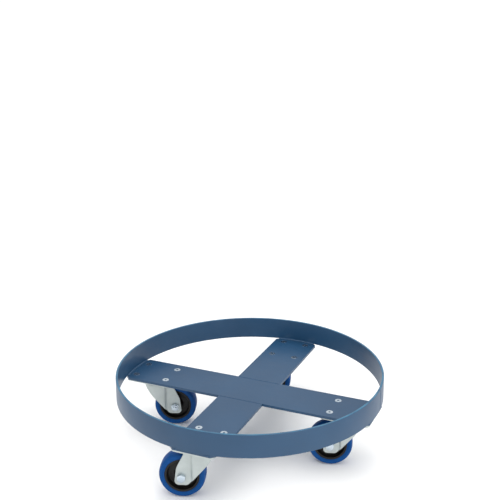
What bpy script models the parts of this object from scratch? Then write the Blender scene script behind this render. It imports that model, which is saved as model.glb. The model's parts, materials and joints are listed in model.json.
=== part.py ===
"""Drum dolly: a rolled steel ring on a flat-bar cross, carried by four bolted swivel casters.

Metres, +Z up. The origin is on the floor under the centre of the ring. The long cross bar lies
along X and the two short ones along Y, so each bar end carries one caster.
"""
import math

import bmesh
import bpy
from mathutils import Matrix, Vector

# Driving dimensions ---------------------------------------------------------------------------
TOUCH_GAP = 0.0003            # between pieces that touch on the real object

RING_OUTER_RADIUS = 0.311
RING_WALL = 0.005
RING_HEIGHT = 0.053
RING_SEGMENTS = 96

BAR_WIDTH = 0.109
BAR_CHAMFER = 0.010           # clipped corners at a bar's end
BAR_THICKNESS = 0.006
BAR_SETBACK = 0.0045          # a bar's square end, inside the ring's outer face

CASTER_HEIGHT = 0.1255        # from the floor to the top plate's upper face
PLATE_SETBACK = 0.0015        # the top plate's outer edge, inside the bar's end

PLATE_LENGTH = 0.114
PLATE_WIDTH = 0.101
PLATE_THICKNESS = 0.004
PLATE_CORNER_RADIUS = 0.009
PLATE_BOSS_RADIUS = 0.027     # pressed raceway seat under the plate
PLATE_BOSS_DEPTH = 0.004
BOLT_SPACING_LONG = 0.080
BOLT_SPACING_WIDE = 0.060

WHEEL_RADIUS = 0.0508
TYRE_WIDTH = 0.036
TYRE_DEPTH = 0.0125
TYRE_SHOULDER = 0.006
TRAIL = 0.045                 # from the swivel axis to the axle

RIM_WALL = 0.0045
RIM_SETBACK = 0.001           # the rim's edge, inside the tyre's side
WEB_THICKNESS = 0.008
MOULD_DRAFT = 0.001           # taper of the rim and hub towards the web
HUB_WALL = 0.0051
HUB_SETBACK = 0.0013          # the hub's end, inside the fork's leg

FORK_THICKNESS = 0.003
FORK_SIDE_CLEARANCE = 0.0025  # between the tyre's side and the fork's leg
FORK_CROWN_RADIUS = 0.030

AXLE_RADIUS = 0.005
AXLE_HEAD_FLATS = 0.017
AXLE_HEAD_HEIGHT = 0.0064
AXLE_NUT_HEIGHT = 0.0095
AXLE_TIP = 0.002              # thread that stands out of the nut
SLEEVE_WALL = 0.002
BEARING_WALL = 0.0035
RUNNING_CLEARANCE = 0.0004    # radial, between pieces that turn in each other

KINGPIN_RADIUS = 0.006
KINGPIN_HEAD_RADIUS = 0.0105
KINGPIN_HEAD_HEIGHT = 0.0033
KINGPIN_RIVET_RADIUS = 0.009
KINGPIN_RIVET_HEIGHT = 0.0035
RACE_HEIGHT = 0.0055          # from the fork's crown to the plate's raceway seat
RACE_OUTER_RADIUS = 0.0292
RACE_INNER_RADIUS = 0.014

BOLT_RADIUS = 0.004
BOLT_HEAD_RADIUS = 0.008
BOLT_HEAD_SINK = 0.0003       # countersunk head below the bar's upper face
BOLT_HOLE_CLEARANCE = 0.0003
BOLT_NUT_FLATS = 0.013
BOLT_NUT_HEIGHT = 0.0065
BOLT_TIP = 0.002

# Levels and sizes that follow from them -------------------------------------------------------
BAR_REACH = RING_OUTER_RADIUS - BAR_SETBACK
CASTER_CIRCLE_RADIUS = BAR_REACH - PLATE_SETBACK - PLATE_LENGTH / 2
BAR_BOTTOM = CASTER_HEIGHT + TOUCH_GAP
BAR_TOP = BAR_BOTTOM + BAR_THICKNESS
RING_BOTTOM = BAR_TOP + TOUCH_GAP
PLATE_BOTTOM = CASTER_HEIGHT - PLATE_THICKNESS
BOSS_BOTTOM = PLATE_BOTTOM - PLATE_BOSS_DEPTH
FORK_CROWN_TOP = BOSS_BOTTOM - RACE_HEIGHT
CROWN_BOTTOM = FORK_CROWN_TOP - FORK_THICKNESS
LEG_INSIDE = TYRE_WIDTH / 2 + FORK_SIDE_CLEARANCE
LEG_OUTSIDE = LEG_INSIDE + FORK_THICKNESS
HUB_HALF_WIDTH = LEG_INSIDE - HUB_SETBACK
RIM_HALF_WIDTH = TYRE_WIDTH / 2 - RIM_SETBACK
TYRE_INNER_RADIUS = WHEEL_RADIUS - TYRE_DEPTH
SLEEVE_RADIUS = AXLE_RADIUS + TOUCH_GAP + SLEEVE_WALL
BEARING_INNER_RADIUS = SLEEVE_RADIUS + RUNNING_CLEARANCE
BEARING_OUTER_RADIUS = BEARING_INNER_RADIUS + BEARING_WALL
HUB_BORE_RADIUS = BEARING_OUTER_RADIUS + TOUCH_GAP
HUB_RADIUS = HUB_BORE_RADIUS + HUB_WALL
RIM_OUTER_RADIUS = TYRE_INNER_RADIUS - TOUCH_GAP
RIM_INNER_RADIUS = RIM_OUTER_RADIUS - RIM_WALL

ROUND = 18                    # sides of a small turned piece
TYRE_SEGMENTS = 32
CORE_SEGMENTS = 24
BOLT_SEGMENTS = 12
AXLE_SEGMENTS = 18
CUT_PAST = 0.002              # how far a cutter runs past the face that it cuts

# Casters: name, angle of the bar end that carries it, direction in which its wheel trails ------
CASTERS = (
    ("front_left", 270.0, 198.5),
    ("front_right", 0.0, 197.0),
    ("back_right", 90.0, 197.0),
    ("back_left", 180.0, 22.0),
)


# Materials ------------------------------------------------------------------------------------
def make_material(name, colour, roughness, metallic):
    material = bpy.data.materials.new(name)
    material.use_nodes = True
    shader = material.node_tree.nodes["Principled BSDF"]
    shader.inputs["Base Color"].default_value = (*colour, 1.0)
    shader.inputs["Roughness"].default_value = roughness
    shader.inputs["Metallic"].default_value = metallic
    return material


FINISHES = {
    "blue_enamel": ((0.062, 0.125, 0.22), 0.35, 0.0),
    "zinc_plate": ((0.62, 0.65, 0.64), 0.32, 1.0),
    "blue_rubber": ((0.008, 0.085, 0.33), 0.55, 0.0),
    "black_nylon": ((0.012, 0.012, 0.013), 0.45, 0.0),
    "bearing_steel": ((0.42, 0.43, 0.44), 0.28, 1.0),
    "bolt_zinc": ((0.55, 0.6, 0.66), 0.25, 1.0),
}


# Mesh helpers ---------------------------------------------------------------------------------
def mesh_from(bm, name, sharp_angle=math.radians(32)):
    bmesh.ops.recalc_face_normals(bm, faces=bm.faces)
    mesh = bpy.data.meshes.new(name)
    bm.to_mesh(mesh)
    bm.free()
    mesh.shade_smooth()
    mesh.set_sharp_from_angle(angle=sharp_angle)
    return mesh


def section_ring(bm, height, radius, segments, is_hex=False):
    """One level of a stacked solid: a circle, or a hexagon that is `radius` from its flats."""
    ring = []
    for index in range(segments):
        angle = math.tau * index / segments
        reach = radius
        if is_hex:
            reach = radius / math.cos(angle % (math.pi / 3) - math.pi / 6)
        ring.append(bm.verts.new((reach * math.cos(angle), reach * math.sin(angle), height)))
    return ring


def stacked(name, sections, segments):
    """Closed solid on local Z from (height, radius, is_hex) levels, first to last."""
    bm = bmesh.new()
    rings = [section_ring(bm, *level[:2], segments, level[2]) for level in sections]
    for lower, upper in zip(rings, rings[1:]):
        for index in range(segments):
            following = (index + 1) % segments
            bm.faces.new((lower[index], lower[following], upper[following], upper[index]))
    bm.faces.new(rings[0])
    bm.faces.new(rings[-1])
    return mesh_from(bm, name)


def turned(name, profile, segments):
    """Hollow turned solid on local Z from a closed outline of (radius, height) points.

    The first segment's flat faces local -X, so a wheel stands on a flat of its tyre.
    """
    bm = bmesh.new()
    half_step = math.pi / segments
    start = Matrix.Rotation(math.pi - half_step, 3, "Z")
    outline = [bm.verts.new(start @ Vector((radius, 0.0, height))) for radius, height in profile]
    edges = [bm.edges.new(pair) for pair in zip(outline, outline[1:] + outline[:1])]
    bmesh.ops.spin(bm, geom=outline + edges, axis=(0, 0, 1), cent=(0, 0, 0),
                   angle=math.tau, steps=segments, use_merge=True)
    return mesh_from(bm, name)


def tube_profile(inner, outer, bottom, top):
    return [(inner, bottom), (outer, bottom), (outer, top), (inner, top)]


def prism(name, outline, low, high, axis="Z"):
    """Extrude an outline of 2-D points from `low` to `high` along Z, or along Y for an X-Z outline."""
    bm = bmesh.new()
    if axis == "Z":
        base = [bm.verts.new((first, second, low)) for first, second in outline]
        travel = Vector((0.0, 0.0, high - low))
    else:
        base = [bm.verts.new((first, low, second)) for first, second in outline]
        travel = Vector((0.0, high - low, 0.0))
    face = bm.faces.new(base)
    grown = bmesh.ops.extrude_face_region(bm, geom=[face])["geom"]
    moved = [item for item in grown if isinstance(item, bmesh.types.BMVert)]
    bmesh.ops.translate(bm, verts=moved, vec=travel)
    return mesh_from(bm, name)


def rectangle(x_low, x_high, y_low, y_high):
    return [(x_low, y_low), (x_high, y_low), (x_high, y_high), (x_low, y_high)]


def arc(centre, radius, start_deg, end_deg, steps):
    points = []
    for index in range(steps + 1):
        angle = math.radians(start_deg + (end_deg - start_deg) * index / steps)
        points.append((centre[0] + radius * math.cos(angle), centre[1] + radius * math.sin(angle)))
    return points


def shaped(base_mesh, operations):
    """Mesh of a solid after Boolean operations, each (mode, mesh, matrix)."""
    body = bpy.data.objects.new(base_mesh.name, base_mesh)
    bpy.context.collection.objects.link(body)
    tools = []
    for mode, tool_mesh, place in operations:
        tool = bpy.data.objects.new(tool_mesh.name, tool_mesh)
        tool.matrix_world = place
        tool.hide_render = True
        tool.display_type = "WIRE"
        bpy.context.collection.objects.link(tool)
        modifier = body.modifiers.new(mode.lower(), "BOOLEAN")
        modifier.operation = mode
        modifier.solver = "EXACT"
        modifier.object = tool
        tools.append(tool)
    graph = bpy.context.evaluated_depsgraph_get()
    graph.update()
    result = bpy.data.meshes.new_from_object(body.evaluated_get(graph))
    result.name = base_mesh.name
    for item in [body, *tools]:
        bpy.data.objects.remove(item)
    result.shade_smooth()
    result.set_sharp_from_angle(angle=math.radians(32))
    return result


def at(x, y, z=0.0):
    return Matrix.Translation((x, y, z))


# Placing --------------------------------------------------------------------------------------
def place(name, mesh, finish, parent=None, location=(0, 0, 0), rotation_z=0.0):
    node = bpy.data.objects.new(name, mesh.copy() if mesh.materials else mesh)
    node.data.name = name
    node.data.materials.clear()
    node.data.materials.append(make_material(name, *FINISHES[finish]))
    node.location = location
    node.rotation_euler = (0.0, 0.0, rotation_z)
    node.parent = parent
    bpy.context.collection.objects.link(node)
    return node


def place_axis(name, location, rotation, parent=None):
    """Empty on a joint's axis."""
    axis = bpy.data.objects.new(name, None)
    axis.location = location
    axis.rotation_euler = rotation
    axis.parent = parent
    bpy.context.collection.objects.link(axis)
    return axis


# Frame ----------------------------------------------------------------------------------------
def bolt_offsets():
    long_half = BOLT_SPACING_LONG / 2
    wide_half = BOLT_SPACING_WIDE / 2
    return [(x, y) for x in (-long_half, long_half) for y in (-wide_half, wide_half)]


def countersink_cutter():
    """Countersunk bolt hole with its axis on Z; z = 0 is the bar's upper face."""
    throat = BOLT_RADIUS + BOLT_HOLE_CLEARANCE
    mouth = BOLT_HEAD_RADIUS + BOLT_HOLE_CLEARANCE
    cone_bottom = -(mouth - throat) - BOLT_HEAD_SINK
    levels = [
        (-BAR_THICKNESS - CUT_PAST, throat, False),
        (cone_bottom, throat, False),
        (-BOLT_HEAD_SINK, mouth, False),
        (CUT_PAST, mouth, False),
    ]
    return stacked("countersink", levels, BOLT_SEGMENTS)


def bar_outline(near, ends):
    """Bar out to BAR_REACH at each end in `ends`, its outer corners clipped."""
    side = BAR_WIDTH / 2
    shoulder = side - BAR_CHAMFER
    outline = []
    for end in (1, -1):
        if end in ends:
            tip = [(BAR_REACH - BAR_CHAMFER, -side), (BAR_REACH, -shoulder)]
            tip += [(x, -y) for x, y in reversed(tip)]
            outline += [(end * x, end * y) for x, y in tip]
        else:
            outline += [(near, side), (near, -side)]
    return outline


def drilled_bar(name, near, ends):
    """Flat bar along X, with four countersunk holes at each end in `ends`."""
    flat = prism(name, bar_outline(near, ends), BAR_BOTTOM, BAR_TOP)
    cutter = countersink_cutter()
    cuts = []
    for end in ends:
        for x, y in bolt_offsets():
            cuts.append(("DIFFERENCE", cutter, at(end * CASTER_CIRCLE_RADIUS + x, y, BAR_TOP)))
    return shaped(flat, cuts)


def build_frame():
    top = RING_BOTTOM + RING_HEIGHT
    inner = RING_OUTER_RADIUS - RING_WALL
    band = turned("ring_band", tube_profile(inner, RING_OUTER_RADIUS, RING_BOTTOM, top), RING_SEGMENTS)
    place("ring_band", band, "blue_enamel")
    place("cross_bar_long", drilled_bar("cross_bar_long", -BAR_REACH, (1, -1)), "blue_enamel")
    start = BAR_WIDTH / 2 + TOUCH_GAP
    short = drilled_bar("cross_bar_short", start, (1,))
    place("cross_bar_back", short, "blue_enamel", rotation_z=math.radians(90))
    place("cross_bar_front", short, "blue_enamel", rotation_z=math.radians(270))


# Caster ---------------------------------------------------------------------------------------
def top_plate_mesh():
    """Plate with its upper face at CASTER_HEIGHT, long side along X, raceway seat below."""
    half_x = PLATE_LENGTH / 2 - PLATE_CORNER_RADIUS
    half_y = PLATE_WIDTH / 2 - PLATE_CORNER_RADIUS
    outline = []
    corners = ((half_x, half_y, 0), (-half_x, half_y, 90), (-half_x, -half_y, 180), (half_x, -half_y, 270))
    for x, y, start in corners:
        outline += arc((x, y), PLATE_CORNER_RADIUS, start, start + 90, 3)
    plate = prism("top_plate", outline, PLATE_BOTTOM, CASTER_HEIGHT)
    boss = stacked("boss", [(BOSS_BOTTOM, PLATE_BOSS_RADIUS - 0.001, False),
                            (PLATE_BOTTOM + PLATE_THICKNESS / 2, PLATE_BOSS_RADIUS, False)], ROUND)
    bore = stacked("bore", [(BOSS_BOTTOM - CUT_PAST, KINGPIN_RADIUS + TOUCH_GAP, False),
                            (CASTER_HEIGHT + CUT_PAST, KINGPIN_RADIUS + TOUCH_GAP, False)], ROUND)
    sink_floor = CASTER_HEIGHT - KINGPIN_HEAD_HEIGHT - 2 * TOUCH_GAP
    sink = stacked("sink", [(sink_floor, KINGPIN_HEAD_RADIUS + TOUCH_GAP, False),
                            (CASTER_HEIGHT + CUT_PAST, KINGPIN_HEAD_RADIUS + TOUCH_GAP, False)], ROUND)
    hole_radius = BOLT_RADIUS + BOLT_HOLE_CLEARANCE
    hole = stacked("hole", [(PLATE_BOTTOM - CUT_PAST, hole_radius, False),
                            (CASTER_HEIGHT + CUT_PAST, hole_radius, False)], BOLT_SEGMENTS)
    steps = [("UNION", boss, at(0, 0)), ("DIFFERENCE", bore, at(0, 0)), ("DIFFERENCE", sink, at(0, 0))]
    steps += [("DIFFERENCE", hole, at(x, y)) for x, y in bolt_offsets()]
    return shaped(plate, steps)


def fork_outline():
    """Side view of the fork, X from the swivel axis with the wheel at -TRAIL, Z from the floor."""
    nose = (-TRAIL, WHEEL_RADIUS)
    crown_front = -FORK_CROWN_RADIUS - 0.004
    crown_back = FORK_CROWN_RADIUS - 0.003
    outline = arc(nose, 0.0162, 190, 306, 6)
    outline += [
        (crown_back - 0.010, WHEEL_RADIUS + 0.029),
        (crown_back - 0.002, WHEEL_RADIUS + 0.040),
        (crown_back, CROWN_BOTTOM),
        (crown_back, FORK_CROWN_TOP),
        (crown_front, FORK_CROWN_TOP),
        (crown_front - 0.001, CROWN_BOTTOM - 0.004),
        (-TRAIL - 0.0005, WHEEL_RADIUS + 0.038),
        (-TRAIL - 0.0085, WHEEL_RADIUS + 0.024),
    ]
    return outline


def fork_mesh():
    body = prism("fork", fork_outline(), -LEG_OUTSIDE, LEG_OUTSIDE, "Y")
    crown = stacked("crown", [(CROWN_BOTTOM, FORK_CROWN_RADIUS, False),
                              (FORK_CROWN_TOP, FORK_CROWN_RADIUS, False)], ROUND)
    reach = PLATE_LENGTH
    throat = prism("throat", rectangle(-reach, reach, -LEG_INSIDE, LEG_INSIDE), 0.0, CROWN_BOTTOM)
    bore = stacked("bore", [(CROWN_BOTTOM - CUT_PAST, KINGPIN_RADIUS + RUNNING_CLEARANCE, False),
                            (FORK_CROWN_TOP + CUT_PAST, KINGPIN_RADIUS + RUNNING_CLEARANCE, False)], ROUND)
    axle = stacked("axle", [(-LEG_OUTSIDE - CUT_PAST, AXLE_RADIUS + TOUCH_GAP, False),
                            (LEG_OUTSIDE + CUT_PAST, AXLE_RADIUS + TOUCH_GAP, False)], AXLE_SEGMENTS)
    across = at(-TRAIL, 0, WHEEL_RADIUS) @ Matrix.Rotation(math.radians(90), 4, "X")
    return shaped(body, [
        ("UNION", crown, at(0, 0)),
        ("DIFFERENCE", throat, at(0, 0)),
        ("DIFFERENCE", bore, at(0, 0)),
        ("DIFFERENCE", axle, across),
    ])


def kingpin_mesh():
    head_top = CASTER_HEIGHT - TOUCH_GAP
    head_bottom = head_top - KINGPIN_HEAD_HEIGHT
    rivet_top = CROWN_BOTTOM - TOUCH_GAP
    return stacked("kingpin", [
        (head_top, KINGPIN_HEAD_RADIUS, False),
        (head_bottom, KINGPIN_HEAD_RADIUS, False),
        (head_bottom, KINGPIN_RADIUS, False),
        (rivet_top, KINGPIN_RADIUS, False),
        (rivet_top, KINGPIN_RIVET_RADIUS, False),
        (rivet_top - KINGPIN_RIVET_HEIGHT, KINGPIN_RIVET_RADIUS - 0.0015, False),
    ], ROUND)


def swivel_bearing_mesh():
    low = FORK_CROWN_TOP + TOUCH_GAP
    high = BOSS_BOTTOM - TOUCH_GAP
    middle = (low + high) / 2
    lip = 0.0015
    return turned("swivel_bearing", [
        (RACE_INNER_RADIUS, low),
        (RACE_OUTER_RADIUS - lip, low),
        (RACE_OUTER_RADIUS, middle),
        (RACE_OUTER_RADIUS - lip, high),
        (RACE_INNER_RADIUS, high),
    ], ROUND)


def tyre_mesh():
    """Tyre with rounded shoulders; its flats, not its corners, lie at WHEEL_RADIUS."""
    outer = WHEEL_RADIUS / math.cos(math.pi / TYRE_SEGMENTS)
    half = TYRE_WIDTH / 2
    inner_half = RIM_HALF_WIDTH + TOUCH_GAP
    upper = arc((outer - TYRE_SHOULDER, half - TYRE_SHOULDER), TYRE_SHOULDER, 10, 80, 1)
    lower = [(radius, -height) for radius, height in reversed(upper)]
    outline = [(TYRE_INNER_RADIUS, -inner_half), *lower, *upper, (TYRE_INNER_RADIUS, inner_half)]
    return turned("tyre", outline, TYRE_SEGMENTS)


def wheel_core_mesh():
    """Nylon rim, thin web and hub in one moulding."""
    web_half = WEB_THICKNESS / 2
    half = [
        (RIM_OUTER_RADIUS, RIM_HALF_WIDTH),
        (RIM_INNER_RADIUS, RIM_HALF_WIDTH),
        (RIM_INNER_RADIUS - MOULD_DRAFT, web_half),
        (HUB_RADIUS + MOULD_DRAFT, web_half),
        (HUB_RADIUS, HUB_HALF_WIDTH),
        (HUB_BORE_RADIUS, HUB_HALF_WIDTH),
    ]
    mirrored = [(radius, -height) for radius, height in reversed(half)]
    return turned("wheel_core", half + mirrored, CORE_SEGMENTS)


def axle_bolt_mesh():
    face = LEG_OUTSIDE + TOUCH_GAP
    tip = -LEG_OUTSIDE - 2 * TOUCH_GAP - AXLE_NUT_HEIGHT - AXLE_TIP
    return stacked("axle_bolt", [
        (face + AXLE_HEAD_HEIGHT, AXLE_HEAD_FLATS / 2, True),
        (face, AXLE_HEAD_FLATS / 2, True),
        (face, AXLE_RADIUS, False),
        (tip, AXLE_RADIUS, False),
    ], AXLE_SEGMENTS)


def axle_nut_mesh():
    top = -LEG_OUTSIDE - TOUCH_GAP
    bottom = top - AXLE_NUT_HEIGHT
    flats = AXLE_HEAD_FLATS / 2
    bm = bmesh.new()
    bore = AXLE_RADIUS + TOUCH_GAP
    levels = [(top, bore, False), (top, flats, True), (bottom, flats, True), (bottom, bore, False)]
    rings = [section_ring(bm, height, radius, AXLE_SEGMENTS, is_hex) for height, radius, is_hex in levels]
    for lower, upper in zip(rings, rings[1:] + rings[:1]):
        for index in range(AXLE_SEGMENTS):
            following = (index + 1) % AXLE_SEGMENTS
            bm.faces.new((lower[index], lower[following], upper[following], upper[index]))
    return mesh_from(bm, "axle_nut")


def mounting_bolt_mesh():
    """Countersunk bolt and its nut, clamping the bar and the top plate; z is height above the floor."""
    head_top = BAR_TOP - BOLT_HEAD_SINK
    nut_top = PLATE_BOTTOM - TOUCH_GAP
    nut_bottom = nut_top - BOLT_NUT_HEIGHT
    return stacked("mounting_bolt", [
        (head_top, BOLT_HEAD_RADIUS, False),
        (head_top - (BOLT_HEAD_RADIUS - BOLT_RADIUS), BOLT_RADIUS, False),
        (nut_top, BOLT_RADIUS, False),
        (nut_top, BOLT_NUT_FLATS / 2, True),
        (nut_bottom, BOLT_NUT_FLATS / 2, True),
        (nut_bottom, BOLT_RADIUS, False),
        (nut_bottom - BOLT_TIP, BOLT_RADIUS, False),
    ], BOLT_SEGMENTS)


def caster_meshes():
    sleeve_half = LEG_INSIDE - TOUCH_GAP
    sleeve = tube_profile(AXLE_RADIUS + TOUCH_GAP, SLEEVE_RADIUS, -sleeve_half, sleeve_half)
    bearing = tube_profile(BEARING_INNER_RADIUS, BEARING_OUTER_RADIUS, -HUB_HALF_WIDTH, HUB_HALF_WIDTH)
    return {
        "top_plate": top_plate_mesh(),
        "kingpin": kingpin_mesh(),
        "swivel_bearing": swivel_bearing_mesh(),
        "fork": fork_mesh(),
        "axle_bolt": axle_bolt_mesh(),
        "axle_nut": axle_nut_mesh(),
        "axle_sleeve": turned("axle_sleeve", sleeve, AXLE_SEGMENTS),
        "wheel_bearing": turned("wheel_bearing", bearing, AXLE_SEGMENTS),
        "wheel_core": wheel_core_mesh(),
        "tyre": tyre_mesh(),
        "mounting_bolt": mounting_bolt_mesh(),
    }


def build_caster(label, bar_angle, trail_angle, meshes):
    """One caster under a bar end: fixed pieces, the swivelling fork and its rolling wheel."""
    bar_turn = math.radians(bar_angle)
    spot = Matrix.Rotation(bar_turn, 3, "Z") @ Vector((CASTER_CIRCLE_RADIUS, 0.0, 0.0))
    seat = place_axis(f"seat_{label}", spot, (0, 0, bar_turn))
    place(f"top_plate_{label}", meshes["top_plate"], "zinc_plate", seat)
    place(f"kingpin_{label}", meshes["kingpin"], "bearing_steel", seat)
    place(f"swivel_bearing_{label}", meshes["swivel_bearing"], "bearing_steel", seat)
    for number, (x, y) in enumerate(bolt_offsets(), start=1):
        place(f"mounting_bolt_{label}_{number}", meshes["mounting_bolt"], "bolt_zinc", seat, (x, y, 0))

    swivel = place_axis(f"swivel_{label}", spot, (0, 0, math.radians(trail_angle + 180)))
    place(f"fork_{label}", meshes["fork"], "zinc_plate", swivel)

    wheel = place_axis(f"wheel_{label}", (-TRAIL, 0, WHEEL_RADIUS), (math.radians(90), 0, 0), swivel)
    place(f"axle_bolt_{label}", meshes["axle_bolt"], "bolt_zinc", wheel)
    place(f"axle_nut_{label}", meshes["axle_nut"], "bolt_zinc", wheel)
    place(f"axle_sleeve_{label}", meshes["axle_sleeve"], "bearing_steel", wheel)
    place(f"wheel_bearing_{label}", meshes["wheel_bearing"], "black_nylon", wheel)
    quarter = math.radians(90)
    place(f"wheel_core_{label}", meshes["wheel_core"], "black_nylon", wheel, rotation_z=quarter)
    place(f"tyre_{label}", meshes["tyre"], "blue_rubber", wheel, rotation_z=quarter)


def main():
    for item in list(bpy.data.objects):
        bpy.data.objects.remove(item)
    build_frame()
    meshes = caster_meshes()
    for label, bar_angle, trail_angle in CASTERS:
        build_caster(label, bar_angle, trail_angle, meshes)
    bpy.context.view_layer.update()


main()
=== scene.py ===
"""Drum dolly: fine pieces, finishes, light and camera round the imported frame.

Metres, +Z up, origin on the floor under the ring's centre. Each caster is made once in its own
frame, then copied to the four bar ends.
"""
import json
import math

import bmesh
import bpy
from mathutils import Matrix, Vector


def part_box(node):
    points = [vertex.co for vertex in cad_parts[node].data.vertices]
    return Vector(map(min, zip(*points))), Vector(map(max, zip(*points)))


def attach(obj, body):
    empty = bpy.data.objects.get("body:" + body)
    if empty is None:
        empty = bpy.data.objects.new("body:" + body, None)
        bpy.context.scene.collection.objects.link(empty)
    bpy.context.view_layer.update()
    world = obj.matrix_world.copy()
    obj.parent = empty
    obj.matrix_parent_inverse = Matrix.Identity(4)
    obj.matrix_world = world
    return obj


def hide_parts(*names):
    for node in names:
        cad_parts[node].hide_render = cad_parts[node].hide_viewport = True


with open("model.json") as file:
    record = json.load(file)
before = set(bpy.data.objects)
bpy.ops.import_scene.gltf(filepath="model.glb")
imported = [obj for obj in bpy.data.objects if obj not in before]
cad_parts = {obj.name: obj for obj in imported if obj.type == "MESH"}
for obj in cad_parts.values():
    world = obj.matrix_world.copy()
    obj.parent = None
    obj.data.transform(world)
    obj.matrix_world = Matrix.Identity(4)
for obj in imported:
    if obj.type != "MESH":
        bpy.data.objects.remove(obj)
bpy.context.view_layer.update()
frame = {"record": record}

JOINTS = {joint["name"]: joint for joint in frame["record"]["behaviour"]["joints"]}
CASTERS = ("front_left", "front_right", "back_right", "back_left")

# Levels and sizes read from the frame -----------------------------------------------------------
RING_LOW, RING_HIGH = (corner.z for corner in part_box("ring_band"))
BAR_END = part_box("cross_bar_long")[1].x
BAR_HALF_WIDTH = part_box("cross_bar_long")[1].y
BAR_LOW, BAR_HIGH = (corner.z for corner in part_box("cross_bar_long"))
PLATE_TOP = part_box("top_plate_front_right")[1].z
BOSS_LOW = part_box("top_plate_front_right")[0].z
CROWN_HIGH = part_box("fork_front_right")[1].z
AXLE_HEIGHT = JOINTS["roll_front_right"]["pos_m"][2]
KINGPIN_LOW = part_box("kingpin_front_right")[0].z
BOLT_LOW, BOLT_HIGH = (corner.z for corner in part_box("mounting_bolt_front_right_1"))
PLATE_LOW_CORNER, PLATE_HIGH_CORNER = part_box("top_plate_front_right")
PLATE_HALF_LENGTH = (PLATE_HIGH_CORNER.x - PLATE_LOW_CORNER.x) / 2
PLATE_HALF_WIDTH = (PLATE_HIGH_CORNER.y - PLATE_LOW_CORNER.y) / 2
TRAIL = math.dist(JOINTS["swivel_front_right"]["pos_m"][:2], JOINTS["roll_front_right"]["pos_m"][:2])

# Sizes of the fine shapes -----------------------------------------------------------------------
MM = 0.001
RING_RADIUS = 311 * MM
RING_WALL = 5 * MM
RING_EDGE = 1.1 * MM
RING_SEAM_ANGLE = math.radians(3.5)
BAR_EDGE = 0.7 * MM
BAR_CLIP = 10 * MM             # clipped corners at a bar's end

PLATE_SHEET = 4 * MM
BOSS_RADIUS = 26 * MM
BOLT_HALF_LONG = 40 * MM
BOLT_HALF_WIDE = 30 * MM

FORK_SHEET = 3 * MM
LEG_OUTSIDE = 23.5 * MM
CROWN_RADIUS = 29.5 * MM

TYRE_HALF_WIDTH = 18 * MM
RIM_RADIUS = 38.0 * MM
AXLE_RADIUS = 5 * MM
AXLE_FLATS = 17 * MM
NUT_FLATS = 13 * MM
BOLT_RADIUS = 4 * MM
GAP = 0.3 * MM

MERGE = 0.001 * MM
PAST = 5 * MM                  # how far a cutting shape runs past what it cuts
CREASE = math.radians(40)
IDENTITY = Matrix.Identity(4)


# Outlines ---------------------------------------------------------------------------------------
def rounded_outline(corners, step=math.radians(11)):
    """Closed outline from (x, y, fillet radius) corners; each fillet is an arc."""
    points = []
    for index, (x, y, radius) in enumerate(corners):
        here = Vector((x, y))
        if radius == 0:
            points.append((x, y))
            continue
        into = (Vector(corners[index - 1][:2]) - here).normalized()
        out = (Vector(corners[(index + 1) % len(corners)][:2]) - here).normalized()
        half = into.angle(out) / 2
        centre = here + (into + out).normalized() * radius / math.sin(half)
        first = here + into * radius / math.tan(half) - centre
        last = here + out * radius / math.tan(half) - centre
        start = math.atan2(first.y, first.x)
        turn = (math.atan2(last.y, last.x) - start + math.pi) % math.tau - math.pi
        count = max(2, math.ceil(abs(turn) / step))
        for number in range(count + 1):
            angle = start + turn * number / count
            points.append((centre.x + radius * math.cos(angle), centre.y + radius * math.sin(angle)))
    return points


def mirrored(half):
    """Corners of a profile symmetric about height 0, from its upper half."""
    return half + [(radius, -height, fillet) for radius, height, fillet in reversed(half)]


# Meshes -----------------------------------------------------------------------------------------
def finished(bm, name):
    bmesh.ops.remove_doubles(bm, verts=bm.verts, dist=MERGE)
    bmesh.ops.recalc_face_normals(bm, faces=bm.faces)
    mesh = bpy.data.meshes.new(name)
    bm.to_mesh(mesh)
    bm.free()
    mesh.shade_smooth()
    mesh.set_sharp_from_angle(angle=CREASE)
    return mesh


def turned(name, outline, segments=96, closed=True):
    """Outline of (radius, height) points turned about Z; an open one starts and ends on Z."""
    bm = bmesh.new()
    verts = [bm.verts.new((radius, 0.0, height)) for radius, height in outline]
    pairs = list(zip(verts, verts[1:]))
    if closed:
        pairs.append((verts[-1], verts[0]))
    edges = [bm.edges.new(pair) for pair in pairs]
    bmesh.ops.spin(bm, geom=verts + edges, axis=(0, 0, 1), cent=(0, 0, 0),
                   angle=math.tau, steps=segments, use_merge=True)
    return finished(bm, name)


def prism(name, outline, low, high, along="Z", top_bend=0.0):
    """Outline extruded from `low` to `high` along Z or Y, its far rim bent round by `top_bend`."""
    bm = bmesh.new()
    base = [bm.verts.new((x, y, low) if along == "Z" else (x, low, y)) for x, y in outline]
    face = bm.faces.new(base)
    grown = bmesh.ops.extrude_face_region(bm, geom=[face])["geom"]
    moved = [item for item in grown if isinstance(item, bmesh.types.BMVert)]
    travel = (0, 0, high - low) if along == "Z" else (0, high - low, 0)
    bmesh.ops.translate(bm, verts=moved, vec=travel)
    if top_bend:
        rim = [edge for edge in bm.edges if all(vert in moved for vert in edge.verts)]
        bmesh.ops.bevel(bm, geom=rim, offset=top_bend, affect="EDGES", segments=5,
                        profile=0.5, material=-1)
    return finished(bm, name)


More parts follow.
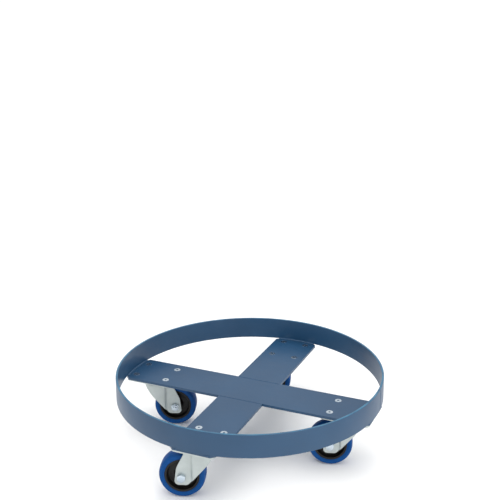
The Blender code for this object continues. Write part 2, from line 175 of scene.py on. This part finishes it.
def shaped(base, operations):
    """Mesh of a solid after Boolean operations, each (mode, mesh, place)."""
    body = bpy.data.objects.new(base.name, base)
    bpy.context.collection.objects.link(body)
    tools = []
    for mode, mesh, place in operations:
        tool = bpy.data.objects.new(mesh.name, mesh)
        tool.matrix_world = place
        bpy.context.collection.objects.link(tool)
        cut = body.modifiers.new(mode.lower(), "BOOLEAN")
        cut.operation = mode
        cut.solver = "EXACT"
        cut.object = tool
        tools.append(tool)
    graph = bpy.context.evaluated_depsgraph_get()
    graph.update()
    result = bpy.data.meshes.new_from_object(body.evaluated_get(graph))
    for item in [body, *tools]:
        bpy.data.objects.remove(item)
    bm = bmesh.new()
    bm.from_mesh(result)
    bmesh.ops.dissolve_limit(bm, angle_limit=math.radians(0.5), verts=bm.verts, edges=bm.edges)
    return finished(bm, base.name)


def hexagon(name, flats, low, high):
    bm = bmesh.new()
    corner = flats / 2 / math.cos(math.pi / 6)
    bmesh.ops.create_cone(bm, cap_ends=True, segments=6, radius1=corner, radius2=corner,
                          depth=high - low, matrix=Matrix.Translation((0, 0, (low + high) / 2)))
    return finished(bm, name)


def chamfered_hexagon(name, flats, low, high, both=False):
    """Hexagon with the 30 degree chamfer that a lathe cuts on its top corners, or on both ends."""
    slope = math.tan(math.radians(30))
    face = flats * 0.475
    reach = flats * 0.75
    rise = (reach - face) * slope
    outline = [(0, low if both else low - PAST), (face if both else reach, low if both else low - PAST)]
    if both:
        outline.append((reach, low + rise))
    outline += [(reach, high - rise), (face, high), (0, high)]
    return shaped(hexagon(name, flats, low, high),
                  [("INTERSECT", turned("chamfer", outline, 60, closed=False), IDENTITY)])


def thread_outline(radius, low, high, pitch):
    """(radius, height) points down a thread, from `high` to `low`, drawn as parallel ridges."""
    count = max(1, round((high - low) / pitch))
    step = (high - low) / count
    depth = pitch * 0.55
    points = []
    for number in range(count):
        top = high - number * step
        points += [(radius - depth, top), (radius, top - step * 0.35), (radius, top - step * 0.6)]
    points.append((radius - depth, low))
    return points


def bead(name, path, radius, pitch=2.6 * MM):
    """Weld bead along a level path: a ring carried along it, swelling once every `pitch`."""
    bm = bmesh.new()
    bmesh.ops.create_circle(bm, cap_ends=False, segments=14, radius=radius)
    places = []
    travelled = 0.0
    for index, point in enumerate(path):
        ahead = Vector(path[min(index + 1, len(path) - 1)])
        behind = Vector(path[max(index - 1, 0)])
        along = (ahead - behind).normalized()
        across = Vector((0, 0, 1)).cross(along) if abs(along.z) < 0.5 else Vector((1, 0, 0))
        travelled += (Vector(point) - Vector(path[max(index - 1, 0)])).length
        ending = min(index, len(path) - 1 - index)
        swell = (0.88 + 0.12 * abs(math.sin(math.pi * travelled / pitch))) * min(1.0, 0.45 + 0.2 * ending)
        turn = Matrix((across, along.cross(across), along)).transposed().to_4x4()
        places.append(Matrix.Translation(point) @ turn @ Matrix.Scale(swell, 4))
    bmesh.ops.transform(bm, matrix=places[0], verts=bm.verts)
    edges = list(bm.edges)
    for before, after in zip(places, places[1:]):
        grown = bmesh.ops.extrude_edge_only(bm, edges=edges)["geom"]
        verts = [item for item in grown if isinstance(item, bmesh.types.BMVert)]
        fresh = set(verts)
        edges = [item for item in grown if isinstance(item, bmesh.types.BMEdge)
                 and item.verts[0] in fresh and item.verts[1] in fresh]
        bmesh.ops.transform(bm, matrix=after @ before.inverted(), verts=verts)
    bmesh.ops.holes_fill(bm, edges=[edge for edge in bm.edges if edge.is_boundary], sides=0)
    return finished(bm, name)


# Materials --------------------------------------------------------------------------------------
def linear(code):
    """sRGB hex, such as "3E6282", as linear RGBA."""
    values = [int(code[index:index + 2], 16) / 255 for index in (0, 2, 4)]
    return [value / 12.92 if value <= 0.04045 else ((value + 0.055) / 1.055) ** 2.4 for value in values] + [1.0]


def per_mm(size):
    """Noise scale at which one feature is about `size` millimetres."""
    return 1 / (size * MM)


def add(tree, kind, links=None, **settings):
    """Node with its settings, and its inputs set or linked."""
    node = tree.nodes.new(kind)
    for setting, value in settings.items():
        setattr(node, setting, value)
    for socket, value in (links or {}).items():
        if isinstance(value, bpy.types.NodeSocket):
            tree.links.new(value, node.inputs[socket])
        else:
            node.inputs[socket].default_value = value
    return node


def start_material(name, **sockets):
    material = bpy.data.materials.new(name)
    material.use_nodes = True
    tree = material.node_tree
    shader = tree.nodes["Principled BSDF"]
    for socket, value in sockets.items():
        shader.inputs[socket.replace("_", " ")].default_value = value
    place = add(tree, "ShaderNodeTexCoord").outputs["Object"]
    return material, tree, shader, place


def noise(tree, place, size, detail=3.0, roughness=0.55):
    links = {"Vector": place, "Scale": per_mm(size), "Detail": detail, "Roughness": roughness}
    return add(tree, "ShaderNodeTexNoise", links).outputs["Fac"]


def spread(tree, value, low, high, to_low=0.0, to_high=1.0):
    links = {"Value": value, "From Min": low, "From Max": high, "To Min": to_low, "To Max": to_high}
    return add(tree, "ShaderNodeMapRange", links).outputs["Result"]


def mix(tree, factor, first, second):
    node = add(tree, "ShaderNodeMix", data_type="RGBA")
    tree.links.new(factor, node.inputs["Factor"])
    for socket, value in ((node.inputs[6], first), (node.inputs[7], second)):
        if isinstance(value, bpy.types.NodeSocket):
            tree.links.new(value, socket)
        else:
            socket.default_value = value
    return node.outputs[2]


def bump(tree, height, depth, strength=1.0, normal=None):
    links = {"Height": height, "Distance": depth, "Strength": strength}
    if normal:
        links["Normal"] = normal
    return add(tree, "ShaderNodeBump", links).outputs["Normal"]


def slate_powder_coat():
    """Semi-gloss slate blue powder coat on mill steel: orange peel, with a painted highlight in patchy lighter blue
    along the ring's upper edge.
    """
    material, tree, shader, place = start_material("slate_blue_powder_coat", IOR=1.5)
    tone = spread(tree, noise(tree, place, 160, 2), 0.35, 0.65)
    colour = mix(tree, tone, linear("1B4161"), linear("204768"))
    # Painted highlight: lighter blue in noise patches over the top 0.9 mm of the ring, standing in for light caught on
    # its rounded edge.
    height = add(tree, "ShaderNodeSeparateXYZ", {"Vector": place}).outputs["Z"]
    top_edge_highlight_band = spread(tree, height, RING_HIGH - 0.9 * MM, RING_HIGH - 0.1 * MM)
    patchy = spread(tree, noise(tree, place, 30, 2), 0.35, 0.65, 0.25, 0.6)
    painted_edge_highlight = add(tree, "ShaderNodeMath", {0: top_edge_highlight_band, 1: patchy}, operation="MULTIPLY").outputs[0]
    tree.links.new(mix(tree, painted_edge_highlight, colour, linear("3F86A6")), shader.inputs["Base Color"])
    tree.links.new(spread(tree, noise(tree, place, 40, 2), 0.3, 0.7, 0.36, 0.42), shader.inputs["Roughness"])
    tree.links.new(bump(tree, noise(tree, place, 2.2, 2), 0.03 * MM, 0.3), shader.inputs["Normal"])
    return material


def bright_zinc(name, light, shade, rough, metal):
    """Electroplated zinc under a thin passivation film: pale, slightly cloudy, with a fine drawn grain."""
    material, tree, shader, place = start_material(name, Metallic=metal)
    cloud = spread(tree, noise(tree, place, 24, 2), 0.3, 0.7)
    tree.links.new(mix(tree, cloud, linear(light), linear(shade)), shader.inputs["Base Color"])
    smear = spread(tree, noise(tree, place, 18, 3), 0.3, 0.7, rough - 0.02, rough + 0.03)
    tree.links.new(smear, shader.inputs["Roughness"])
    grain = noise(tree, place, 0.8, 3)
    waves = bump(tree, noise(tree, place, 30, 1), 0.1 * MM, 0.2)
    tree.links.new(bump(tree, grain, 0.02 * MM, 0.3, waves), shader.inputs["Normal"])
    return material


def bearing_steel():
    """Hardened, polished bearing steel with a film of grease."""
    material, tree, shader, place = start_material("bearing_steel", Metallic=1.0)
    film = spread(tree, noise(tree, place, 4, 3), 0.35, 0.65)
    tree.links.new(mix(tree, film, linear("B9BBBC"), linear("8C8E8E")), shader.inputs["Base Color"])
    tree.links.new(spread(tree, film, 0, 1, 0.16, 0.32), shader.inputs["Roughness"])
    return material


def royal_blue_rubber():
    """Elastic solid rubber, moulded: matt, royal blue, with floor dust on the running face."""
    material, tree, shader, place = start_material("royal_blue_elastic_rubber", IOR=1.52)
    tone = spread(tree, noise(tree, place, 12, 3), 0.3, 0.7)
    colour = mix(tree, tone, linear("05427E"), linear("074787"))
    speck = spread(tree, noise(tree, place, 1.6, 5, 0.7), 0.66, 0.8, 0.0, 0.1)
    shader.inputs["Specular IOR Level"].default_value = 0.14
    tree.links.new(mix(tree, speck, colour, linear("2A5FA4")), shader.inputs["Base Color"])
    tree.links.new(spread(tree, noise(tree, place, 5, 3), 0.3, 0.7, 0.44, 0.6), shader.inputs["Roughness"])
    tree.links.new(bump(tree, noise(tree, place, 1.1, 3), 0.04 * MM, 0.5), shader.inputs["Normal"])
    return material


def black_nylon():
    """Injection-moulded polyamide: near-black, satin, with fine spark-eroded grain."""
    material, tree, shader, place = start_material("black_polyamide", IOR=1.53)
    shader.inputs["Specular IOR Level"].default_value = 0.3
    tone = spread(tree, noise(tree, place, 8, 3), 0.3, 0.7)
    tree.links.new(mix(tree, tone, linear("0D0C0B"), linear("171412")), shader.inputs["Base Color"])
    tree.links.new(spread(tree, noise(tree, place, 3, 3), 0.3, 0.7, 0.36, 0.5), shader.inputs["Roughness"])
    tree.links.new(bump(tree, noise(tree, place, 0.9, 2), 0.03 * MM, 0.4), shader.inputs["Normal"])
    return material


MATERIALS = {
    "blue_enamel": slate_powder_coat(),
    "zinc_plate": bright_zinc("bright_zinc_plate", "B9C1C0", "B0B8B7", 0.38, 0.6),
    "bolt_zinc": bright_zinc("blue_passivated_zinc", "D2DCE4", "AFBECB", 0.15, 1.0),
    "bearing_steel": bearing_steel(),
    "blue_rubber": royal_blue_rubber(),
    "black_nylon": black_nylon(),
}


def add_piece(name, mesh, slot, body, place=IDENTITY, replaced=(), edge=0.0):
    """Copy of a mesh, moved to its place and riding on a body of the frame."""
    data = mesh.copy()
    data.name = name
    data.transform(place)
    data.materials.clear()
    data.materials.append(MATERIALS[slot])
    thing = bpy.data.objects.new(name, data)
    bpy.context.collection.objects.link(thing)
    if edge:
        round_over = thing.modifiers.new("rounded_edges", "BEVEL")
        round_over.width = edge
        round_over.segments = 2
        round_over.limit_method = "ANGLE"
        round_over.angle_limit = CREASE
        round_over.harden_normals = True
    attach(thing, body)
    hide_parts(*replaced)
    return thing


# Frame ------------------------------------------------------------------------------------------
def arc_path(radius, height, start, end, step=0.8 * MM):
    count = math.ceil(abs(end - start) * radius / step)
    angles = [start + (end - start) * number / count for number in range(count + 1)]
    return [(radius * math.cos(angle), radius * math.sin(angle), height) for angle in angles]


def line_path(start, end, step=0.8 * MM):
    first, last = Vector(start), Vector(end)
    count = math.ceil((last - first).length / step)
    return [tuple(first.lerp(last, number / count)) for number in range(count + 1)]


def add_ring():
    inner = RING_RADIUS - RING_WALL
    corners = [(inner, RING_LOW, RING_EDGE), (RING_RADIUS, RING_LOW, RING_EDGE),
               (RING_RADIUS, RING_HIGH, RING_EDGE), (inner, RING_HIGH, RING_EDGE)]
    ring = turned("ring_band", rounded_outline(corners, math.radians(23)), 288)
    add_piece("ring_band_rolled", ring, "blue_enamel", "frame", replaced=["ring_band"])
    for side, radius in (("outside", RING_RADIUS - 0.9 * MM), ("inside", inner + 0.9 * MM)):
        x = radius * math.cos(RING_SEAM_ANGLE)
        y = radius * math.sin(RING_SEAM_ANGLE)
        seam = bead("seam", line_path((x, y, RING_LOW + 1 * MM), (x, y, RING_HIGH - 1 * MM)), 1.6 * MM)
        add_piece(f"ring_seam_weld_{side}", seam, "blue_enamel", "frame")


def countersink():
    """Countersunk hole on Z for the bar, made in one turned cutter."""
    shank = BOLT_RADIUS + GAP
    mouth = 2 * BOLT_RADIUS + GAP
    outline = [(0, BAR_HIGH + PAST), (mouth, BAR_HIGH + PAST), (mouth, BAR_HIGH - GAP),
               (shank, BAR_HIGH - GAP - (mouth - shank)), (shank, BAR_LOW - PAST), (0, BAR_LOW - PAST)]
    return turned("countersink", outline, 40, closed=False)


def bolt_spots():
    return [(x, y) for x in (-BOLT_HALF_LONG, BOLT_HALF_LONG) for y in (-BOLT_HALF_WIDE, BOLT_HALF_WIDE)]


def add_bar(node, near, ends, turn):
    """Flat bar along X between `near` and the ring, turned about Z by `turn`."""
    tip = [(BAR_END - BAR_CLIP, -BAR_HALF_WIDTH), (BAR_END, BAR_CLIP - BAR_HALF_WIDTH),
           (BAR_END, BAR_HALF_WIDTH - BAR_CLIP), (BAR_END - BAR_CLIP, BAR_HALF_WIDTH)]
    if near is None:
        outline = tip + [(-x, -y) for x, y in tip]
    else:
        outline = tip + [(near, BAR_HALF_WIDTH), (near, -BAR_HALF_WIDTH)]
    cutter = countersink()
    circle = Vector(JOINTS["swivel_front_right"]["pos_m"]).x
    cuts = []
    for end in ends:
        for x, y in bolt_spots():
            cuts.append(("DIFFERENCE", cutter, Matrix.Translation((end * circle + x, y, 0))))
    bar = shaped(prism("bar", outline, BAR_LOW, BAR_HIGH), cuts)
    place = Matrix.Rotation(turn, 4, "Z")
    add_piece(f"{node}_flat", bar, "blue_enamel", "frame", place, [node], BAR_EDGE)


def add_frame_welds():
    """Fillets where the ring stands on the bars, and butt welds where the short bars meet the long."""
    inner = RING_RADIUS - RING_WALL - 0.4 * MM
    half = math.asin((BAR_HALF_WIDTH - 7 * MM) / inner)
    inside = bead("inner_fillet", arc_path(inner, BAR_HIGH + 0.4 * MM, -half, half), 3.0 * MM)
    edge = BAR_END + 0.8 * MM
    reach = BAR_HALF_WIDTH - 12 * MM
    outside = bead("outer_fillet", line_path((edge, -reach, BAR_HIGH - 1.2 * MM),
                                             (edge, reach, BAR_HIGH - 1.2 * MM)), 1.6 * MM)
    for number, turn in enumerate((0, 90, 180, 270), start=1):
        place = Matrix.Rotation(math.radians(turn), 4, "Z")
        add_piece(f"ring_weld_inside_{number}", inside, "blue_enamel", "frame", place)
        add_piece(f"ring_weld_outside_{number}", outside, "blue_enamel", "frame", place)
    run = BAR_HALF_WIDTH - 2 * MM
    for side, y in (("back", BAR_HALF_WIDTH), ("front", -BAR_HALF_WIDTH)):
        for face, z in (("top", BAR_HIGH - 1.0 * MM), ("under", BAR_LOW + 1.0 * MM)):
            weld = bead("bar_weld", line_path((-run, y, z), (run, y, z)), 2.2 * MM, 3.2 * MM)
            add_piece(f"bar_weld_{side}_{face}", weld, "blue_enamel", "frame")


# Caster shapes, in the caster's own frame: swivel axis on Z, wheel towards -X --------------------
def top_plate():
    corners = [(x * PLATE_HALF_LENGTH, y * PLATE_HALF_WIDTH, 9 * MM)
               for x, y in ((-1, -1), (1, -1), (1, 1), (-1, 1))]
    sheet_low = PLATE_TOP - PLATE_SHEET
    sheet = prism("top_plate", rounded_outline(corners), sheet_low, PLATE_TOP)
    boss_corners = [(8 * MM, sheet_low + 2 * MM, 0), (8 * MM, BOSS_LOW, 0), (BOSS_RADIUS, BOSS_LOW, 2 * MM),
                    (BOSS_RADIUS + 1.5 * MM, sheet_low - 0.02 * MM, 0), (BOSS_RADIUS + 3 * MM, sheet_low + 2 * MM, 0)]
    boss = turned("boss", rounded_outline(boss_corners), 72)
    hole = turned("hole", [(0, PLATE_TOP + PAST), (BOLT_RADIUS + GAP, PLATE_TOP + PAST),
                           (BOLT_RADIUS + GAP, sheet_low - PAST), (0, sheet_low - PAST)], 36, closed=False)
    well = turned("well", [(0, PLATE_TOP + PAST), (10.8 * MM, PLATE_TOP + PAST), (10.8 * MM, PLATE_TOP - 3.8 * MM),
                           (6.4 * MM, PLATE_TOP - 3.8 * MM), (6.4 * MM, BOSS_LOW - PAST),
                           (0, BOSS_LOW - PAST)], 48, closed=False)
    steps = [("UNION", boss, IDENTITY), ("DIFFERENCE", well, IDENTITY)]
    steps += [("DIFFERENCE", hole, Matrix.Translation((x, y, 0))) for x, y in bolt_spots()]
    return shaped(sheet, steps)


def kingpin():
    """Rivet with a flat upper head in the plate's well and a domed lower one."""
    head_high = PLATE_TOP - GAP
    rivet_high = CROWN_HIGH - FORK_SHEET - GAP
    corners = [(0, head_high, 0), (10.5 * MM, head_high, 0.8 * MM), (10.5 * MM, head_high - 3.3 * MM, 0),
               (6 * MM, head_high - 3.3 * MM, 0), (6 * MM, rivet_high, 0), (9 * MM, rivet_high, 0.5 * MM),
               (8.2 * MM, KINGPIN_LOW + 0.8 * MM, 2 * MM), (4.5 * MM, KINGPIN_LOW, 2 * MM), (0, KINGPIN_LOW, 0)]
    return turned("kingpin", rounded_outline(corners), 48, closed=False)


def race(name, low, high):
    """Pressed raceway ring with a rolled rim."""
    outer = CROWN_RADIUS - 0.4 * MM
    corners = [(14 * MM, low, 0.3 * MM), (outer - 1.8 * MM, low, 0.8 * MM), (outer, (low + high) / 2, 0.4 * MM),
               (outer - 1.8 * MM, high, 0.8 * MM), (14 * MM, high, 0.3 * MM)]
    return turned(name, rounded_outline(corners), 72)


def ball_ring(centre_height, radius, ring_radius, count):
    bm = bmesh.new()
    for number in range(count):
        angle = math.tau * number / count
        spot = (ring_radius * math.cos(angle), ring_radius * math.sin(angle), centre_height)
        bmesh.ops.create_uvsphere(bm, u_segments=16, v_segments=10, radius=radius,
                                  matrix=Matrix.Translation(spot))
    return finished(bm, "balls")


def fork():
    """Fork pressed from one sheet: flat legs at the axle that spread to a round crown."""
    foot = AXLE_HEIGHT - 25 * MM
    under = CROWN_HIGH - FORK_SHEET

    def plan(outside, open_end, crown, crown_fillet):
        half = [(open_end, -outside, 0), (-25 * MM, -outside, 5 * MM),
                (-20 * MM, -outside - 5.2 * MM, 4 * MM), (crown, -crown - 2.2 * MM, crown_fillet)]
        return rounded_outline(half + [(x, -y, fillet) for x, y, fillet in reversed(half)], math.radians(8))

    outer = prism("fork", plan(LEG_OUTSIDE, -80 * MM, CROWN_RADIUS, 26 * MM), foot, CROWN_HIGH, top_bend=4.5 * MM)
    inner = prism("fork_inside", plan(LEG_OUTSIDE - FORK_SHEET, -90 * MM, CROWN_RADIUS - FORK_SHEET, 23 * MM),
                  foot - PAST, under, top_bend=2 * MM)
    side = [
        (-TRAIL - 16 * MM, AXLE_HEIGHT - 17.5 * MM, 9 * MM),
        (-TRAIL + 13.5 * MM, AXLE_HEIGHT - 17.5 * MM, 11 * MM),
        (12 * MM, AXLE_HEIGHT + 34 * MM, 22 * MM),
        (33 * MM, CROWN_HIGH - 1 * MM, 0),
        (33 * MM, CROWN_HIGH + PAST, 0),
        (-38 * MM, CROWN_HIGH + PAST, 0),
        (-40.5 * MM, CROWN_HIGH - 8 * MM, 8 * MM),
        (-56 * MM, AXLE_HEIGHT + 22 * MM, 30 * MM),
    ]
    profile = prism("fork_side", rounded_outline(side), -60 * MM, 60 * MM, along="Y")
    pin_hole = turned("pin_hole", [(0, CROWN_HIGH + PAST), (6.4 * MM, CROWN_HIGH + PAST),
                                   (6.4 * MM, under - PAST), (0, under - PAST)], 48, closed=False)
    span = LEG_OUTSIDE + PAST
    axle_hole = turned("axle_hole", [(0, span), (AXLE_RADIUS + GAP, span), (AXLE_RADIUS + GAP, -span), (0, -span)],
                       48, closed=False)
    return shaped(outer, [("DIFFERENCE", inner, IDENTITY), ("INTERSECT", profile, IDENTITY),
                          ("DIFFERENCE", pin_hole, IDENTITY), ("DIFFERENCE", axle_hole, axle_place())])


def axle_place():
    """Wheel frame seen from the caster's: its Z is the axle."""
    return Matrix.Translation((-TRAIL, 0, AXLE_HEIGHT)) @ Matrix.Rotation(math.radians(90), 4, "X")


def axle_bolt():
    face = LEG_OUTSIDE + GAP
    head = chamfered_hexagon("axle_bolt", AXLE_FLATS, face + 0.5 * MM, face + 6.4 * MM)
    end = -face - 9.5 * MM - GAP - 2 * MM
    shank = [(0, face + 1 * MM), (8 * MM, face + 1 * MM), (8 * MM, face), (AXLE_RADIUS, face),
             (AXLE_RADIUS, end + 14 * MM)]
    shank += thread_outline(AXLE_RADIUS, end + 0.8 * MM, end + 14 * MM, 1.5 * MM)
    shank += [(AXLE_RADIUS - 1.4 * MM, end), (0, end)]
    return shaped(head, [("UNION", turned("shank", shank, 48, closed=False), IDENTITY)])


def axle_nut():
    """Lock nut: chamfered hexagon with a round collar for its nylon insert."""
    top = -LEG_OUTSIDE - GAP
    hexagonal = chamfered_hexagon("axle_nut", AXLE_FLATS, top - 7 * MM, top, both=True)
    low = top - 9.5 * MM
    collar = turned("collar", rounded_outline([(0, top - 6 * MM, 0), (7.6 * MM, top - 6 * MM, 0),
                                               (7.6 * MM, low, 1.6 * MM), (0, low, 0)]), 48, closed=False)
    bore = turned("bore", [(0, top + PAST), (AXLE_RADIUS + 0.1 * MM, top + PAST),
                           (AXLE_RADIUS + 0.1 * MM, low - PAST), (0, low - PAST)], 48, closed=False)
    return shaped(hexagonal, [("UNION", collar, IDENTITY), ("DIFFERENCE", bore, IDENTITY)])


def tyre():
    """Solid tyre: slightly crowned running face, round shoulders, stepped sides, mould line."""
    outer = AXLE_HEIGHT
    half = [
        (RIM_RADIUS + GAP, TYRE_HALF_WIDTH - 1.2 * MM, 0.4 * MM),
        (RIM_RADIUS + 3.2 * MM, TYRE_HALF_WIDTH - 1.0 * MM, 0.5 * MM),
        (RIM_RADIUS + 4.0 * MM, TYRE_HALF_WIDTH - 0.1 * MM, 0.5 * MM),
        (outer - 3.0 * MM, TYRE_HALF_WIDTH - 0.1 * MM, 3.4 * MM),
        (outer - 0.35 * MM, 11.5 * MM, 5 * MM),
        (outer - 0.12 * MM, 0.7 * MM, 0),
        (outer, 0.35 * MM, 0),
    ]
    return turned("tyre", rounded_outline(mirrored(half)), 160)


def wheel_core():
    """Moulded centre: raised rim, deep dished web and a stepped hub."""
    half = [
        (11.7 * MM, 19.2 * MM, 0.5 * MM),
        (15.0 * MM, 19.2 * MM, 0.9 * MM),
        (16.6 * MM, 13.0 * MM, 0.8 * MM),
        (17.6 * MM, 5.0 * MM, 2.0 * MM),
        (RIM_RADIUS - 6.3 * MM, 4.4 * MM, 2.6 * MM),
        (RIM_RADIUS - 4.5 * MM, 16.4 * MM, 0.8 * MM),
        (RIM_RADIUS, 16.8 * MM, 0.6 * MM),
    ]
    return turned("wheel_core", rounded_outline(mirrored(half)), 128)


def tube(name, inner, outer, half_length, edge, segments=64):
    return turned(name, rounded_outline([(inner, -half_length, edge), (outer, -half_length, edge),
                                         (outer, half_length, edge), (inner, half_length, edge)]), segments)


def mounting_bolt():
    """Countersunk bolt with a hexagon socket."""
    head = 2 * BOLT_RADIUS
    outline = [(0, BOLT_HIGH), (head - 0.3 * MM, BOLT_HIGH), (head, BOLT_HIGH - 0.3 * MM),
               (BOLT_RADIUS, BOLT_HIGH - head + BOLT_RADIUS), (BOLT_RADIUS, BOLT_LOW + 12 * MM)]
    outline += thread_outline(BOLT_RADIUS, BOLT_LOW + 0.6 * MM, BOLT_LOW + 12 * MM, 1.25 * MM)
    outline += [(BOLT_RADIUS - 1.1 * MM, BOLT_LOW), (0, BOLT_LOW)]
    socket = hexagon("socket", 5 * MM, BOLT_HIGH - 3 * MM, BOLT_HIGH + PAST)
    return shaped(turned("mounting_bolt", outline, 40, closed=False), [("DIFFERENCE", socket, IDENTITY)])


def mounting_nut():
    top = PLATE_TOP - PLATE_SHEET - GAP
    low = top - 6.5 * MM
    bore = turned("bore", [(0, top + PAST), (BOLT_RADIUS + 0.1 * MM, top + PAST),
                           (BOLT_RADIUS + 0.1 * MM, low - PAST), (0, low - PAST)], 40, closed=False)
    return shaped(chamfered_hexagon("mounting_nut", NUT_FLATS, low, top, both=True),
                  [("DIFFERENCE", bore, IDENTITY)])


def add_casters():
    low = CROWN_HIGH + GAP
    high = BOSS_LOW - GAP
    middle = (low + high) / 2
    slit = 0.55 * MM
    fixed = (
        ("top_plate", top_plate(), "zinc_plate", ["top_plate"], 0.5 * MM),
        ("kingpin", kingpin(), "bearing_steel", ["kingpin"], 0),
        ("upper_race", race("upper_race", middle + slit, high), "zinc_plate", ["swivel_bearing"], 0),
        ("swivel_balls", ball_ring(middle, 1.9 * MM, 25.2 * MM, 26), "bearing_steel", [], 0),
    )
    swinging = (
        ("lower_race", race("lower_race", low, middle - slit), "zinc_plate", [], 0),
        ("fork", fork(), "zinc_plate", ["fork"], 0.45 * MM),
    )
    axle = (
        ("axle_bolt", axle_bolt(), "bolt_zinc", ["axle_bolt"], 0),
        ("axle_nut", axle_nut(), "bolt_zinc", ["axle_nut"], 0),
        ("axle_sleeve", tube("sleeve", 5.3 * MM, 7.3 * MM, 20.2 * MM, 0.3 * MM), "bearing_steel", ["axle_sleeve"], 0),
    )
    rolling = (
        ("wheel_bearing", tube("cage", 7.7 * MM, 11.2 * MM, 19.2 * MM, 0.6 * MM), "black_nylon", ["wheel_bearing"], 0),
        ("wheel_core", wheel_core(), "black_nylon", ["wheel_core"], 0),
        ("tyre", tyre(), "blue_rubber", ["tyre"], 0),
    )
    bolt = mounting_bolt()
    nut = mounting_nut()
    for label in CASTERS:
        swivel_spot = Vector(JOINTS[f"swivel_{label}"]["pos_m"])
        axle_spot = Vector(JOINTS[f"roll_{label}"]["pos_m"])
        stand = Matrix.Translation((swivel_spot.x, swivel_spot.y, 0))
        seat = stand @ Matrix.Rotation(math.atan2(swivel_spot.y, swivel_spot.x), 4, "Z")
        lead = swivel_spot - axle_spot
        swivel = stand @ Matrix.Rotation(math.atan2(lead.y, lead.x), 4, "Z")
        wheel = swivel @ axle_place()
        groups = ((fixed, "frame", seat), (swinging, f"swivel_{label}", swivel),
                  (axle, f"swivel_{label}", wheel), (rolling, f"wheel_{label}", wheel))
        for group, body, place in groups:
            for name, mesh, slot, nodes, edge in group:
                replaced = [f"{node}_{label}" for node in nodes]
                add_piece(f"{name}_fine_{label}", mesh, slot, body, place, replaced, edge)
        for number, (x, y) in enumerate(bolt_spots(), start=1):
            spot = seat @ Matrix.Translation((x, y, 0))
            add_piece(f"countersunk_bolt_{label}_{number}", bolt, "bolt_zinc", "frame", spot,
                      [f"mounting_bolt_{label}_{number}"])
            add_piece(f"mounting_nut_{label}_{number}", nut, "bolt_zinc", "frame", spot)


# Stage ------------------------------------------------------------------------------------------
def add_floor():
    bm = bmesh.new()
    bmesh.ops.create_grid(bm, x_segments=1, y_segments=1, size=40)
    floor = bpy.data.objects.new("floor", finished(bm, "floor"))
    bpy.context.collection.objects.link(floor)
    material, tree, shader, place = start_material("pale_studio_floor", Roughness=0.7)
    tone = spread(tree, noise(tree, place, 400, 2), 0.3, 0.7)
    tree.links.new(mix(tree, tone, linear("F6F6F6"), linear("F8F8F8")), shader.inputs["Base Color"])
    floor.data.materials.append(material)


def add_softbox(name, spot, target, width, height, power):
    light = bpy.data.lights.new(name, "AREA")
    light.shape = "RECTANGLE"
    light.size = width
    light.size_y = height
    light.energy = power
    lamp = bpy.data.objects.new(name, light)
    lamp.location = spot
    lamp.rotation_euler = (Vector(target) - Vector(spot)).to_track_quat("-Z", "Y").to_euler()
    bpy.context.collection.objects.link(lamp)


def add_lights():
    world = bpy.data.worlds.new("white_studio")
    world.use_nodes = True
    tree = world.node_tree
    # Brightest overhead and darker towards the left-hand wall; the backdrop itself is plain white.
    direction = add(tree, "ShaderNodeTexCoord").outputs["Generated"]
    axes = add(tree, "ShaderNodeSeparateXYZ", {"Vector": direction})
    overhead = spread(tree, axes.outputs["Z"], 0.0, 0.75, 0.42, 1.5)
    sideways = spread(tree, axes.outputs["X"], -0.9, 0.9, 0.8, 1.0)
    room = add(tree, "ShaderNodeMath", {0: overhead, 1: sideways}, operation="MULTIPLY").outputs[0]
    seen = add(tree, "ShaderNodeLightPath").outputs["Is Camera Ray"]
    level = spread(tree, seen, 0.0, 1.0, room, 1.12)
    tree.links.new(level, tree.nodes["Background"].inputs["Strength"])
    tree.nodes["Background"].inputs["Color"].default_value = linear("FFFFFF")
    bpy.context.scene.world = world
    middle = (0, 0, 0.12)
    add_softbox("softbox_left", (-1.6, -1.9, 1.7), middle, 1.4, 1.4, 5)
    add_softbox("softbox_right", (2.1, -1.5, 0.9), middle, 0.7, 1.0, 15)
    add_softbox("softbox_top", (0.1, 0.3, 2.6), middle, 2.0, 2.0, 14)
    bpy.context.scene.view_settings.view_transform = "Standard"


def add_camera():
    """Camera low over the front, a little to the right, its frame set below its axis."""
    data = bpy.data.cameras.new("camera")
    data.sensor_width = 36
    data.lens = 71.9
    data.shift_y = -0.15
    camera = bpy.data.objects.new("camera", data)
    yaw, pitch, roll = (math.radians(angle) for angle in (23.77, 14.26, -0.36))
    turn = (Matrix.Rotation(yaw, 4, "Z") @ Matrix.Rotation(math.pi / 2 - pitch, 4, "X")
            @ Matrix.Rotation(roll, 4, "Z"))
    camera.matrix_world = Matrix.Translation((0.869, -1.965, 1.198)) @ turn
    bpy.context.collection.objects.link(camera)
    bpy.context.scene.camera = camera


add_camera()
add_ring()
add_bar("cross_bar_long", None, (-1, 1), 0.0)
add_bar("cross_bar_back", BAR_HALF_WIDTH + GAP, (1,), math.radians(90))
add_bar("cross_bar_front", BAR_HALF_WIDTH + GAP, (1,), math.radians(270))
add_frame_welds()
add_casters()
add_floor()
add_lights()
